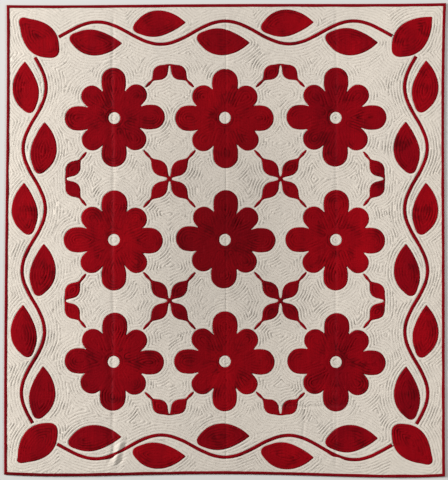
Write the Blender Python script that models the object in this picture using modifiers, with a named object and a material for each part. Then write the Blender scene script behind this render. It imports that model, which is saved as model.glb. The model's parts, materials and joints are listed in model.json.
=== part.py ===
"""A two-colour applique bed quilt, lying face up on a flat surface.

X runs across the quilt, Y up its length as it is looked at, and Z is up. The origin is
under the middle of the quilt, on the surface it lies on. The cream quilt is one filled
body, bound at the edge with four red strips folded over it. On its face lie the red
pieces that a maker cuts and sews down: flowers, sprays between them, and a border of
vines and leaves. Every cut piece follows the swells and creases of the body below it.
"""

from math import atan2, cos, hypot, pi, sin

import bmesh
import bpy
import numpy as np

# The quilt, in metres
WIDTH = 2.000
LENGTH = 2.146
BODY_THICK = 0.0048
EDGE_TOP = 0.0034
GAP = 0.0003
CLOTH = 0.0009

# The binding, a folded strip
BINDING_WIDE = 0.013
BINDING_CLOTH = 0.0008

# The body's edge: flat under the binding, then a rise to full thickness
EDGE_FLAT = 0.015
EDGE_UNDER = 0.026
EDGE_MIDWAY = 0.060
EDGE_EASE = 0.075

# How far each side bows out of true, in metres, at five places from one end to the other
SIDE_DRIFT = {
    "left": (0.0050, 0.0045, 0.0000, -0.0060, -0.0065),
    "right": (0.0020, 0.0000, -0.0010, -0.0025, 0.0060),
    "bottom": (-0.0045, 0.0000, -0.0070, 0.0035, 0.0040),
    "top": (-0.0045, -0.0040, 0.0000, 0.0005, 0.0045),
}

# Fold creases and the pucker: the two ends, the height against the cloth round it, the half width
CREASE_COLUMNS = ("x1", "y1", "x2", "y2", "rise", "half")
CREASES = (
    (-0.511, -1.020, -0.511, 1.020, -0.0009, 0.013),
    (0.005, -1.020, 0.005, 1.020, -0.0007, 0.009),
    (0.505, -1.020, 0.505, 1.020, -0.0009, 0.013),
    (0.250, -0.753, 0.515, -0.753, -0.0009, 0.013),
    (-0.525, -0.915, -0.470, -1.045, 0.0030, 0.016),
    (-0.498, -0.905, -0.436, -1.045, -0.0010, 0.014),
)
CREASE_FADE = 0.030

# Soft swells of the cloth: waves along x and y in cycles a metre, phase, height
SWELL_COLUMNS = ("along_x", "along_y", "phase", "rise")
SWELLS = (
    (1.30, 0.40, 0.4, 0.00045),
    (-0.60, 1.70, 2.1, 0.00040),
    (2.10, -1.20, 4.0, 0.00025),
)

# Lines of the body's mesh: three along each fold crease, some at the pucker, and an even fill
MESH_STEP = 0.170
CREASE_SIDE = 0.016
CREASE_X = (-0.511, 0.005, 0.505)
CREASE_Y = (-0.753,)
PUCKER_X = (-0.470, -0.440)
PUCKER_Y = (-0.985, -0.930)

# The flowers
COLUMN_STEP = 0.505
ROW_STEP = 0.555
PETALS = 8
PETAL_COLUMNS = ("reach", "cap")
PETAL_KINDS = ((0.226, 0.0575), (0.190, 0.0505))
SLIT_FOOT = 0.066
EYE_RADIUS = 0.027
CAP_SWEEP = 1.70

# The arm of a spray: share of the way out, half width in metres
ARM_COLUMNS = ("share", "half")
ARM = (
    (0.060, 0.0045),
    (0.150, 0.0140),
    (0.260, 0.0270),
    (0.380, 0.0320),
    (0.500, 0.0270),
    (0.610, 0.0140),
    (0.690, 0.0055),
    (0.860, 0.0065),
    (1.000, 0.0030),
)
SPRAY_DRAW_IN = 0.965
SPRAY_STOP = 0.199

# The border: a wavy vine on each side with a leaf in each bend, and a leaf at each corner
VINE_MIDDLE = 0.130
VINE_SWING = 0.052
VINE_HALF = 0.0075
VINE_STOP = 0.240
VINES = {"top": (5, 0.292), "right": (6, 0.278), "bottom": (5, 0.292), "left": (6, 0.278)}
LEAF_LONG = 0.236
LEAF_WIDE = 0.120
LEAF_BEND = 0.012
LEAF_START = 0.075
LEAF_FOOT_OFF = 0.018
LEAF_TIP_OFF = 0.046
LEAF_POINT_HALF = 0.0020
CORNER_INSET = 0.232
CORNER_LONG = 0.240
CORNER_WIDE = 0.145

# Cut pieces are drawn as prisms this far up and down before they are fitted to the face
PRISM_HALF = 0.020

CREAM = (0.604, 0.539, 0.462, 1.0)
REDS = ((0.190, 0.0040, 0.0080, 1.0), (0.220, 0.0060, 0.0095, 1.0))


def uneven(key, share):
    """A fixed small departure for the key-th hand-cut shape, between -share and share."""
    return share * sin(12.9898 * key + 1.3)


def clear_scene():
    for thing in list(bpy.data.objects):
        bpy.data.objects.remove(thing, do_unlink=True)


def collection(name):
    made = bpy.data.collections.new(name)
    bpy.context.scene.collection.children.link(made)
    return made


def cotton(name, colour):
    material = bpy.data.materials.new(name)
    material.use_nodes = True
    shader = material.node_tree.nodes["Principled BSDF"]
    shader.inputs["Base Color"].default_value = colour
    shader.inputs["Roughness"].default_value = 0.88
    shader.inputs["Metallic"].default_value = 0.0
    material.diffuse_color = colour
    return material


def add_object(name, mesh, home, material):
    thing = bpy.data.objects.new(name, mesh)
    home.objects.link(thing)
    mesh.materials.clear()
    mesh.materials.append(material)
    return thing


def drift(side, along):
    """How far a side stands out at along, from -1 to 1: a smooth curve through its five places."""
    return np.polyval(np.polyfit(np.linspace(-1, 1, 5), SIDE_DRIFT[side], 4), along)


def middle_off(high_side, low_side):
    """Half the difference of two sides' furthest reach, which would move the quilt's middle."""
    along = np.linspace(-1, 1, 41)
    return (drift(high_side, along).max() - drift(low_side, along).max()) / 2


OFF_X = middle_off("right", "left")
OFF_Y = middle_off("top", "bottom")


def spread(x, y):
    """Moves points of a true rectangle to the quilt's uneven sides, most at the sides themselves."""
    u = x / (WIDTH / 2)
    v = y / (LENGTH / 2)
    east = drift("right", v) * np.clip(u, 0, 2) ** 2
    west = drift("left", v) * np.clip(-u, 0, 2) ** 2
    north = drift("top", u) * np.clip(v, 0, 2) ** 2
    south = drift("bottom", u) * np.clip(-v, 0, 2) ** 2
    return x + east - west - OFF_X, y + north - south - OFF_Y


def crease_rise(x, y, crease):
    """The lift of one crease: a soft bell across its line, fading over its ends."""
    row = dict(zip(CREASE_COLUMNS, crease))
    run_x, run_y = row["x2"] - row["x1"], row["y2"] - row["y1"]
    long = hypot(run_x, run_y)
    along = ((x - row["x1"]) * run_x + (y - row["y1"]) * run_y) / long
    across = ((x - row["x1"]) * run_y - (y - row["y1"]) * run_x) / long
    past = np.maximum(0, np.maximum(-along, along - long))
    return row["rise"] * np.exp(-((across / row["half"]) ** 2) - (past / CREASE_FADE) ** 2)


def face_height(x, y):
    """The height of the body's face: its thickness, swells and creases, eased down to a thin edge."""
    inset = np.minimum(WIDTH / 2 - abs(x), LENGTH / 2 - abs(y))
    ease = np.clip((inset - EDGE_FLAT) / EDGE_EASE, 0, 1)
    ease = ease * ease * (3 - 2 * ease)
    rise = sum(crease_rise(x, y, crease) for crease in CREASES)
    for swell in SWELLS:
        row = dict(zip(SWELL_COLUMNS, swell))
        turns = row["along_x"] * x + row["along_y"] * y
        rise = rise + row["rise"] * np.sin(2 * pi * turns + row["phase"])
    return EDGE_TOP + ease * (BODY_THICK - EDGE_TOP + rise)


def mesh_lines(half, special):
    """Places of the mesh's lines from -half to half: the edge's own, the special ones, and an even fill."""
    edge = half - np.array((0, EDGE_FLAT, EDGE_UNDER, EDGE_MIDWAY))
    fixed = np.sort(np.concatenate([edge, -edge, special]))
    lines = [fixed[0]]
    for a, b in zip(fixed[:-1], fixed[1:]):
        parts = max(1, round((b - a) / MESH_STEP))
        lines += [a + (b - a) * k / parts for k in range(1, parts + 1)]
    return np.array(lines)


def with_sides(creases):
    """A line at each crease and one on either side of it."""
    return [place + side for place in creases for side in (-CREASE_SIDE, 0, CREASE_SIDE)]


BODY_INSET = BINDING_CLOTH + GAP
X_LINES = mesh_lines(WIDTH / 2 - BODY_INSET, with_sides(CREASE_X) + list(PUCKER_X))
Y_LINES = mesh_lines(LENGTH / 2 - BODY_INSET, with_sides(CREASE_Y) + list(PUCKER_Y))


def grid_on_lines():
    """A flat grid with its lines at X_LINES and Y_LINES."""
    shape = bmesh.new()
    bmesh.ops.create_grid(
        shape, x_segments=len(X_LINES) - 1, y_segments=len(Y_LINES) - 1, size=1.0
    )
    for vert in shape.verts:
        vert.co.x = X_LINES[round((vert.co.x + 1) / 2 * (len(X_LINES) - 1))]
        vert.co.y = Y_LINES[round((vert.co.y + 1) / 2 * (len(Y_LINES) - 1))]
    return shape


def slab_on_grid(name, low, high):
    """A closed slab over the grid, between two heights given as functions of the place."""
    shape = grid_on_lines()
    bmesh.ops.triangulate(shape, faces=shape.faces[:])
    raised = bmesh.ops.extrude_face_region(shape, geom=shape.faces[:])["geom"]
    upper = {vert for vert in raised if isinstance(vert, bmesh.types.BMVert)}
    for vert in shape.verts:
        x, y = vert.co.x, vert.co.y
        vert.co.z = high(x, y) if vert in upper else low(x, y)
        vert.co.x, vert.co.y = spread(x, y)
    bmesh.ops.recalc_face_normals(shape, faces=shape.faces[:])
    mesh = bpy.data.meshes.new(name)
    shape.to_mesh(mesh)
    shape.free()
    return mesh


def underside_height(x, y):
    """Flat on the surface, but lifted at the edge, where the binding folds under."""
    inset = min(X_LINES[-1] - abs(x), Y_LINES[-1] - abs(y))
    return BODY_INSET if inset < (EDGE_FLAT + EDGE_UNDER) / 2 else 0.0


def add_body(home):
    """The filled body, its face in swells and creases and its underside flat."""
    mesh = slab_on_grid("quilt_body", underside_height, face_height)
    shape = bmesh.new()
    shape.from_mesh(mesh)
    below = [edge for edge in shape.edges if all(face.normal.z < -0.999 for face in edge.link_faces)]
    bmesh.ops.dissolve_limit(shape, angle_limit=0.002, verts=shape.verts[:], edges=below)
    bmesh.ops.triangulate(shape, faces=shape.faces[:])
    shape.to_mesh(mesh)
    shape.free()
    add_object("quilt_body", mesh, home, cotton("cream_cotton", CREAM))


def side_place(side, along, inset):
    """The place at a distance along a side, from its middle, and in from it."""
    if side == "top":
        return along, LENGTH / 2 - inset
    if side == "bottom":
        return along, -LENGTH / 2 + inset
    if side == "right":
        return WIDTH / 2 - inset, along
    return -WIDTH / 2 + inset, along


def add_binding(side, home):
    """A strip folded over the edge: a sheet bent to a C section, mitred at both ends."""
    lines = X_LINES if side in ("top", "bottom") else Y_LINES
    half = lines[-1]
    fold = (
        (BINDING_WIDE, BINDING_CLOTH),
        (-GAP, BINDING_CLOTH),
        (-GAP, EDGE_TOP + GAP),
        (BINDING_WIDE, EDGE_TOP + GAP),
    )
    shape = bmesh.new()
    bmesh.ops.create_grid(shape, x_segments=len(lines) - 1, y_segments=len(fold) - 1, size=1.0)
    for vert in shape.verts:
        inset, height = fold[round((vert.co.y + 1) / 2 * (len(fold) - 1))]
        along = lines[round((vert.co.x + 1) / 2 * (len(lines) - 1))]
        along *= (half - inset - GAP) / half
        x, y = side_place(side, along, inset + BODY_INSET)
        vert.co = (*spread(x, y), height)
    bmesh.ops.recalc_face_normals(shape, faces=shape.faces[:])
    wall = max(shape.faces, key=lambda face: -abs(face.normal.z))
    if wall.normal.dot(wall.calc_center_median()) < 0:
        bmesh.ops.reverse_faces(shape, faces=shape.faces[:])
    mesh = bpy.data.meshes.new("binding_" + side)
    shape.to_mesh(mesh)
    shape.free()
    strip = add_object("binding_" + side, mesh, home, cotton("red_binding_" + side, REDS[0]))
    thick = strip.modifiers.new("Cloth", "SOLIDIFY")
    thick.thickness = BINDING_CLOTH
    thick.offset = 1.0
    thick.use_even_offset = True


def strip_outline(line, half):
    """The outline of a strip along a centre line, with its half width at each point."""
    line, half = np.asarray(line, float), np.asarray(half, float)
    way = np.gradient(line, axis=0)
    way /= np.linalg.norm(way, axis=1)[:, None]
    out = np.stack([way[:, 1], -way[:, 0]], 1) * half[:, None]
    return np.concatenate([line + out, (line - out)[::-1]])


def turned(along, across, angle, x, y):
    """Points given along and across a direction, as places on the quilt."""
    return np.stack(
        [x + along * cos(angle) - across * sin(angle), y + along * sin(angle) + across * cos(angle)], -1
    )


def leaf_outline(x, y, angle, long, wide, bend, points=8):
    """A plump leaf: fullest a little before its middle, with pointed ends and a bent centre line."""
    share = np.linspace(0, 1, points)
    half = wide / 2 * np.sin(pi * share**0.85).clip(0) ** 0.8
    half[[0, -1]] = LEAF_POINT_HALF
    line = turned(share * long, bend * np.sin(pi * share), angle, x, y)
    return strip_outline(line, half)


def flower_outline(x, y, key):
    """Eight petals round a middle, long and short by turns, each a taper with a round cap."""
    points = []
    for k in range(PETALS):
        kind = dict(zip(PETAL_COLUMNS, PETAL_KINDS[k % 2]))
        reach = kind["reach"] * (1 + uneven(PETALS * key + k, 0.020))
        cap = kind["cap"] * (1 + uneven(PETALS * key + k + 50, 0.030))
        axis = 2 * pi * k / PETALS + uneven(key + 3, 0.020) + uneven(PETALS * key + k + 90, 0.015)
        sweep = np.linspace(-CAP_SWEEP, CAP_SWEEP, 6)
        slit = 2 * pi * (k - 0.5) / PETALS
        points.append([(x + SLIT_FOOT * cos(slit), y + SLIT_FOOT * sin(slit))])
        points.append(turned(reach - cap + cap * np.cos(sweep), cap * np.sin(sweep), axis, x, y))
    return np.concatenate(points)


def eye_outline(x, y):
    """The round hole in a flower's middle, where the cream cloth shows."""
    turn = np.linspace(0, 2 * pi, 11)[:-1]
    return np.stack([x + EYE_RADIUS * np.cos(turn), y + EYE_RADIUS * np.sin(turn)], 1)


def spray_outline(x, y, targets):
    """Arms from one middle towards each flower: a leaf, then a thin tapered stem."""
    share, half = np.array(ARM).T
    points = []
    for target_x, target_y in targets:
        angle = atan2(target_y - y, target_x - x)
        reach = hypot(target_x - x, target_y - y) - SPRAY_STOP
        points.append(turned(share * reach, -half, angle, x, y))
        points.append(turned(share * reach, half, angle, x, y)[::-1])
    return np.concatenate(points)


def vine_outline(side):
    """A strip of even width along a wave of half turns, from one corner leaf to the next."""
    bends, step = VINES[side]
    end = (WIDTH if side in ("top", "bottom") else LENGTH) / 2 - VINE_STOP
    along = np.linspace(-end, end, 6 * bends + 1)
    inset = VINE_MIDDLE - VINE_SWING * np.sin(pi * (along / step + bends / 2))
    line = np.stack(side_place(side, along, inset), 1)
    return strip_outline(line, np.full(len(along), VINE_HALF))


def vine_leaf_outline(side, k):
    """The leaf in the k-th bend of a side's vine, on the hollow of the bend."""
    bends, step = VINES[side]
    hollow = 1 if k % 2 == 0 else -1
    start = (k + LEAF_START - bends / 2) * step + uneven(k + 7 * bends, 0.003)
    x, y = side_place(side, start, VINE_MIDDLE + hollow * LEAF_FOOT_OFF)
    end_x, end_y = side_place(side, start + LEAF_LONG, VINE_MIDDLE + hollow * LEAF_TIP_OFF)
    angle = atan2(end_y - y, end_x - x)
    long = hypot(end_x - x, end_y - y) * (1 + uneven(k + 3 * bends, 0.010))
    wide = LEAF_WIDE * (1 + uneven(k + 11 * bends, 0.030))
    outward = 1 if side in ("top", "left") else -1
    return leaf_outline(x, y, angle, long, wide, -LEAF_BEND * hollow * outward)


def corner_leaf_outline(east, north):
    """A broad leaf along a corner's diagonal, its tip towards the corner."""
    x = east * (WIDTH / 2 - CORNER_INSET)
    y = north * (LENGTH / 2 - CORNER_INSET)
    return leaf_outline(x, y, atan2(north, east), CORNER_LONG, CORNER_WIDE, 0.0)


def add_patch(name, outlines, cover, guides, home, colour):
    """A cut piece of cloth: its flat outline drawn up as a prism, kept where it meets the cloth layer."""
    curve = bpy.data.curves.new(name, "CURVE")
    curve.dimensions = "2D"
    curve.fill_mode = "BOTH"
    curve.extrude = PRISM_HALF
    for outline in outlines:
        x, y = spread(outline[:, 0], outline[:, 1])
        line = curve.splines.new("POLY")
        line.points.add(len(outline) - 1)
        line.points.foreach_set("co", np.stack([x, y, 0 * x, 0 * x + 1], 1).ravel())
        line.use_cyclic_u = True
    drawn = bpy.data.objects.new(name + "_outline", curve)
    guides.objects.link(drawn)
    seen = drawn.evaluated_get(bpy.context.evaluated_depsgraph_get())
    mesh = bpy.data.meshes.new_from_object(seen)
    shape = bmesh.new()
    shape.from_mesh(mesh)
    bmesh.ops.remove_doubles(shape, verts=shape.verts[:], dist=1e-6)
    bmesh.ops.recalc_face_normals(shape, faces=shape.faces[:])
    shape.to_mesh(mesh)
    shape.free()
    patch = add_object(name, mesh, home, cotton("red_" + name, colour))
    patch.matrix_world = drawn.matrix_world
    bpy.data.objects.remove(drawn, do_unlink=True)
    kept = patch.modifiers.new("On the quilt's face", "BOOLEAN")
    kept.operation = "INTERSECT"
    kept.object = cover


def add_flowers(cover, guides, home):
    """Nine flowers in three rows of three."""
    key = 0
    for row in (1, 0, -1):
        for column in (-1, 0, 1):
            x, y = column * COLUMN_STEP, row * ROW_STEP
            outlines = [flower_outline(x, y, key), eye_outline(x, y)]
            add_patch(f"flower_{key + 1}", outlines, cover, guides, home, REDS[key % 2])
            key += 1


def add_sprays(cover, guides, home):
    """Sprays where four flowers, or two at the field's side, stand round a point."""
    key = 0
    for across in (-1.5, -0.5, 0.5, 1.5):
        for up in (-1.5, -0.5, 0.5, 1.5):
            targets = [
                ((across + east / 2) * COLUMN_STEP, (up + north / 2) * ROW_STEP)
                for east, north in ((1, 1), (-1, 1), (-1, -1), (1, -1))
                if abs(across + east / 2) < 1.2 and abs(up + north / 2) < 1.2
            ]
            if len(targets) < 2:
                continue
            key += 1
            x = across * COLUMN_STEP * (SPRAY_DRAW_IN if abs(across) > 1 else 1)
            y = up * ROW_STEP * (SPRAY_DRAW_IN if abs(up) > 1 else 1)
            outline = spray_outline(x, y, targets)
            add_patch(f"spray_{key}", [outline], cover, guides, home, REDS[key % 2])


def add_border(cover, guides, home):
    """The vine, its leaves and the corner leaves."""
    for side, (bends, _) in VINES.items():
        add_patch("vine_" + side, [vine_outline(side)], cover, guides, home, REDS[0])
        for k in range(bends):
            outline = vine_leaf_outline(side, k)
            add_patch(f"leaf_{side}_{k + 1}", [outline], cover, guides, home, REDS[k % 2])
    for north in (1, -1):
        for east in (-1, 1):
            name = "leaf_corner_" + ("top" if north > 0 else "bottom") + ("_right" if east > 0 else "_left")
            outline = corner_leaf_outline(east, north)
            add_patch(name, [outline], cover, guides, home, REDS[1])


clear_scene()
quilt = collection("applique_quilt")
helpers = collection("helpers")
add_body(quilt)
for side in ("top", "right", "bottom", "left"):
    add_binding(side, quilt)

cover_mesh = slab_on_grid(
    "cloth_layer",
    lambda x, y: face_height(x, y) + GAP,
    lambda x, y: face_height(x, y) + GAP + CLOTH,
)
cloth_layer = add_object("cloth_layer", cover_mesh, helpers, cotton("helper", CREAM))
cloth_layer.hide_render = True
cloth_layer.display_type = "WIRE"

add_flowers(cloth_layer, helpers, quilt)
add_sprays(cloth_layer, helpers, quilt)
add_border(cloth_layer, helpers, quilt)
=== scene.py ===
"""The looks of a red and cream applique bed quilt that lies face up on a pale floor.

It goes together as its maker works: shapes cut, quilting lines laid out round them, cream top,
red pieces sewn on, back, binding. Everything is in metres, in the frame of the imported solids.
"""

import json

import bpy
import numpy as np
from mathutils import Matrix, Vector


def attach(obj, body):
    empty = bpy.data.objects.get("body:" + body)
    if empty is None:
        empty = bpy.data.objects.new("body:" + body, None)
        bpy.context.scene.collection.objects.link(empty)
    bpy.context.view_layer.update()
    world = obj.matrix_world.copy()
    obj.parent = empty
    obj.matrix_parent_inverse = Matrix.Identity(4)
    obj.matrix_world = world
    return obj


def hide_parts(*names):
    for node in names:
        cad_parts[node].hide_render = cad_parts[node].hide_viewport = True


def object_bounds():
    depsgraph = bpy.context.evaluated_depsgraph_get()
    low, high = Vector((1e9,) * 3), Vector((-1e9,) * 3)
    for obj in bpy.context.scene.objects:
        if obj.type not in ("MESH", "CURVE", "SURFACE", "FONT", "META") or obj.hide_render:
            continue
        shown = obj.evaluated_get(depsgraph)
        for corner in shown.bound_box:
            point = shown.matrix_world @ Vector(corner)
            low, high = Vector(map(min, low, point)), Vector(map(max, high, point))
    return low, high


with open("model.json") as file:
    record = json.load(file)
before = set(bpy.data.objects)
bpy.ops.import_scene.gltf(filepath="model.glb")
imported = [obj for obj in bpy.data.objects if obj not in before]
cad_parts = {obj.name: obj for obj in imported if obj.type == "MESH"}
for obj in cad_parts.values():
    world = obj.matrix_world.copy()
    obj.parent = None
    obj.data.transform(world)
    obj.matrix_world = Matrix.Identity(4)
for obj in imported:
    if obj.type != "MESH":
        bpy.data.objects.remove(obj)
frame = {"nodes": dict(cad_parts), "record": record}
cad_box = [list(corner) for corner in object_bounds()]
slot_of = {part["node"]: part["material_slot"] for part in frame["record"]["subparts"]}


# The cut shapes
# Flowers, sprays, vines and leaves are cut by hand from red cotton, with the edges turned
# under. All the quilting follows them, so their outlines come first, each from its solid.

CUT_NODES = sorted(node for node in slot_of if node.split("_")[0] in ("flower", "spray", "vine", "leaf"))
STRAIGHT_TURN = 0.03
CORNER_TURN = 0.85
ARC_STEPS = 6
# Doubling this often goes round any outline.
DOUBLINGS = 12


def turn_between(one, other):
    """The angle from each direction to the next, from their cross and dot products."""
    return np.arctan2(one[:, 0] * other[:, 1] - one[:, 1] * other[:, 0], (one * other).sum(1))


def cut_outline(node):
    """The outline of a cut piece in plan: both ends of its short stretches, and the way along it.

    The outline is the edges that only one upward face has. Points on straight runs are left out.
    Between the rest runs a cubic curve, whose direction at a point is the mean of those before
    and after it, each weighted by the other's length. A sharp corner keeps the two apart. The way
    along is counted back from the first point of a loop, by adding up ever longer jumps.
    """
    mesh = frame["nodes"][node].data
    mesh.calc_loop_triangles()
    point = np.empty(len(mesh.vertices) * 3, np.float32)
    mesh.vertices.foreach_get("co", point)
    point = point.reshape(-1, 3).astype(float)
    face = np.empty(len(mesh.loop_triangles) * 3, np.int32)
    mesh.loop_triangles.foreach_get("vertices", face)
    face = face.reshape(-1, 3)
    normal = np.cross(point[face[:, 1]] - point[face[:, 0]], point[face[:, 2]] - point[face[:, 0]])
    face = face[normal[:, 2] > 0.5 * np.linalg.norm(normal, axis=1)]
    place, weld = np.unique(np.round(point[:, :2], 5), axis=0, return_inverse=True)
    face = weld.reshape(-1)[face]
    edge = np.concatenate([face[:, [0, 1]], face[:, [1, 2]], face[:, [2, 0]]])
    edge = edge[~np.isin(edge @ (len(place), 1), edge @ (1, len(place)))]

    after, before = np.arange(len(place)), np.arange(len(place))
    after[edge[:, 0]], before[edge[:, 1]] = edge[:, 1], edge[:, 0]
    straight = abs(turn_between(place - place[before], place[after] - place)) < STRAIGHT_TURN
    kept = edge[~straight[edge[:, 0]], 0]
    while straight[after[kept]].any() or straight[before[kept]].any():
        after[kept] = np.where(straight[after[kept]], after[after[kept]], after[kept])
        before[kept] = np.where(straight[before[kept]], before[before[kept]], before[kept])

    ahead, behind = place[after] - place, place - place[before]
    long_ahead, long_behind = (np.linalg.norm(way, axis=1)[:, None] + 1e-9 for way in (ahead, behind))
    mean = ahead / long_ahead * long_behind + behind / long_behind * long_ahead
    mean /= np.linalg.norm(mean, axis=1)[:, None] + 1e-12
    sharp = abs(turn_between(behind, ahead))[:, None] > CORNER_TURN
    leaving = np.where(sharp, ahead / long_ahead, mean)
    coming = np.where(sharp, behind / long_behind, mean)

    t = np.linspace(0, 1, ARC_STEPS + 1)[None, :, None]
    chord = long_ahead[kept][:, None]
    curve = (
        (2 * t**3 - 3 * t**2 + 1) * place[kept][:, None]
        + (t**3 - 2 * t**2 + t) * chord * leaving[kept][:, None]
        + (3 * t**2 - 2 * t**3) * place[after[kept]][:, None]
        + (t**3 - t**2) * chord * coming[after[kept]][:, None]
    )
    step = np.linalg.norm(np.diff(curve, axis=1), axis=2)
    rank = np.zeros(len(place), int)
    rank[kept] = np.arange(len(kept))
    onward = rank[after[kept]]
    first, jump = np.arange(len(kept)), onward
    for doubling in range(DOUBLINGS):
        first, jump = np.minimum(first, first[jump]), jump[jump]
    is_first = first == np.arange(len(kept))
    to_go = np.where(is_first, 0, step.sum(1))
    jump = np.where(is_first, first, onward)
    for doubling in range(DOUBLINGS):
        to_go, jump = to_go + to_go[jump], jump[jump]
    along = (np.cumsum(step, axis=1) - step - to_go[:, None]).ravel()
    return curve[:, :-1].reshape(-1, 2), curve[:, 1:].reshape(-1, 2), along


outlines = {node: cut_outline(node) for node in CUT_NODES}


# The lie of the quilt
# It is two widths of cream cotton over thin wadding, a little out of true at its sides, as
# hand work is. It lies flat but for slow swells, old fold creases and a pucker at the foot.

WIDTH, LENGTH = 2.000, 2.146
EDGE_IN = 0.0011
SEAM_X = 0.005
FACE_UP, EDGE_UP = 0.0048, 0.0034
# The edge is flat this far in, and the face rises over this width.
EDGE_FLAT, EDGE_EASE = 0.014, 0.075
# How far each side is drawn along x or y at five places, from its lower or left end.
SIDE_DRIFT = {
    "left": (0.0050, 0.0045, 0.0000, -0.0060, -0.0065),
    "right": (0.0020, 0.0000, -0.0010, -0.0025, 0.0060),
    "bottom": (-0.0045, 0.0000, -0.0070, 0.0035, 0.0040),
    "top": (-0.0045, -0.0040, 0.0000, 0.0005, 0.0045),
}
# Each crease: from x, y, to x, y, how far it rises, half its breadth, and how worn it is.
CREASES = (
    (-0.511, -1.060, -0.511, 1.060, -0.0013, 0.0075, 1.0),
    (0.505, -1.060, 0.505, 1.060, -0.0010, 0.0070, 0.4),
    (SEAM_X, -1.070, SEAM_X, 1.070, -0.0012, 0.0038, 0.2),
    (0.250, -0.753, 0.530, -0.753, -0.0014, 0.0075, 0.5),
    (0.358, -0.760, 0.356, -0.890, -0.0013, 0.0060, 0.5),
    (0.486, -0.640, 0.489, -0.860, -0.0008, 0.0055, 0.3),
    (-0.480, -0.940, -0.512, -1.040, 0.0044, 0.0110, 0.0),
    (-0.455, -0.935, -0.488, -1.045, -0.0014, 0.0085, 0.0),
    (-0.505, -0.940, -0.539, -1.045, -0.0012, 0.0080, 0.0),
    (-0.474, -0.955, -0.508, -0.984, -0.0026, 0.0055, 0.0),
    (-0.480, -1.010, -0.522, -1.042, -0.0026, 0.0060, 0.0),
)
CREASE_FADE = 0.03
# A crease narrower than this is a seam, which runs straight. The others wander in two waves: how
# far, how fast, and how much the start depends on the crease's place.
SEAM_HALF = 0.004
WANDERS = ((0.0020, 9.0, 40.0), (0.0008, 41.0, 0.0))
# Each swell: waves a metre along x and along y, where it starts, and how far it rises.
SWELLS = (
    (1.30, 0.40, 0.4, 0.00045),
    (-0.60, 1.70, 2.1, 0.00040),
    (2.10, -1.20, 4.0, 0.00025),
    (5.10, 3.30, 1.0, 0.00016),
    (-4.20, 6.10, 3.0, 0.00014),
)


def drift(side, along):
    """How far a side stands out at along, from -1 to 1: the quartic through its five places."""
    return np.polyval(np.polyfit(np.linspace(-1, 1, 5), SIDE_DRIFT[side], 4), along)


def off_middle(high_side, low_side):
    """Half the difference of two opposite sides' furthest reach."""
    along = np.linspace(-1, 1, 41)
    return (drift(high_side, along).max() - drift(low_side, along).max()) / 2


def spread(x, y):
    """Moves a true rectangle's points by each side's drift, times the square of their way out to it."""
    u, v = x / (WIDTH / 2), y / (LENGTH / 2)
    east = drift("right", v) * np.clip(u, 0, 2) ** 2 - drift("left", v) * np.clip(-u, 0, 2) ** 2
    north = drift("top", u) * np.clip(v, 0, 2) ** 2 - drift("bottom", u) * np.clip(-v, 0, 2) ** 2
    return x + east - off_middle("right", "left"), y + north - off_middle("top", "bottom")


def ease(share):
    """A smooth step from 0 to 1: three times the square less twice the cube."""
    share = np.clip(share, 0, 1)
    return share * share * (3 - 2 * share)


def waver(x, y, scale):
    """A smooth uneven value from -1 to 1: three bent, crossing waves about scale metres long."""
    a = np.sin((x + y * 0.31) * 2 * np.pi / scale + 2.0 * np.sin(y * 3.1 / scale))
    b = np.sin((x * -0.42 + y * 0.87) * 2 * np.pi / scale + 1.7 * np.sin(x * 2.3 / scale))
    c = np.sin((x * 0.66 - y * 0.71) * 3.3 * np.pi / scale + 4.0)
    return (a + b + 0.7 * c) / 2.7


def crease_bells(x, y, spread_out=1.0):
    """For each crease, a bell across its wandering line that fades beyond its ends."""
    for x1, y1, x2, y2, rise, half, worn in CREASES:
        run = np.hypot(x2 - x1, y2 - y1)
        along = ((x - x1) * (x2 - x1) + (y - y1) * (y2 - y1)) / run
        across = ((x - x1) * (y2 - y1) - (y - y1) * (x2 - x1)) / run
        for far, pace, start in WANDERS if half > SEAM_HALF else ():
            across = across + far * np.sin(along * pace + x1 * start)
        past = np.maximum(0, np.maximum(-along, along - run))
        yield rise, worn, np.exp(-((across / (half * spread_out)) ** 2) - (past / CREASE_FADE) ** 2)


def cloth_height(x, y, inset):
    """The height of the face: thickness, swells and creases, eased down to the thin sewn edge."""
    swell = sum(rise * np.sin(2 * np.pi * (a * x + b * y) + start) for a, b, start, rise in SWELLS)
    folds = sum(rise * bell for rise, worn, bell in crease_bells(x, y))
    return EDGE_UP + ease((inset - EDGE_FLAT) / EDGE_EASE) * (FACE_UP - EDGE_UP + swell + folds)


# The quilting
# Running stitches hold top, wadding and back together. By eye they echo every cut edge, line
# after line about 12 mm apart, and the cloth puffs up between them. Lattice points are drawn
# onto the nearest cut edge, stitched line or third between two lines.

LINE_STEP = 0.0126
LEVEL = LINE_STEP / 3
LATTICE = LEVEL
REACH = 0.170
# Each wobble of the lines: how far it goes, and its length.
WOBBLES = ((0.0030, 0.150), (0.0017, 0.062))
# The wobble grows over this way out from a cut edge.
WOBBLE_GROWS = 0.03
STITCH = 0.0044
# Neighbours on one line whose stitch counts differ by more than this are on different runs.
STITCH_JUMP = 1.9
# Where lines from two edges meet, the distance rises less steeply than this, and points stay
# where they are. They are drawn fully from this much above it.
MEETING_SLOPE, SLOPE_EASE = 0.78, 0.16
# Neighbours that differ by more than this share of a step lie straight across the lines.
ACROSS_LINES = 0.86
# A cell whose triangles are both under this share of a square has its corners drawn less far.
# Corners on a cut edge are only drawn less far after the first rounds.
THIN_CELL, DRAW_LESS = 0.10, 0.6
ROUNDS, EDGE_ROUNDS = 12, 7
ON_EDGE = 0.0003
# The two ways to pair each lattice point with the next: along x and along y.
PAIRS = ((np.s_[:, :-1], np.s_[:, 1:]), (np.s_[:-1], np.s_[1:]))


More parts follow.
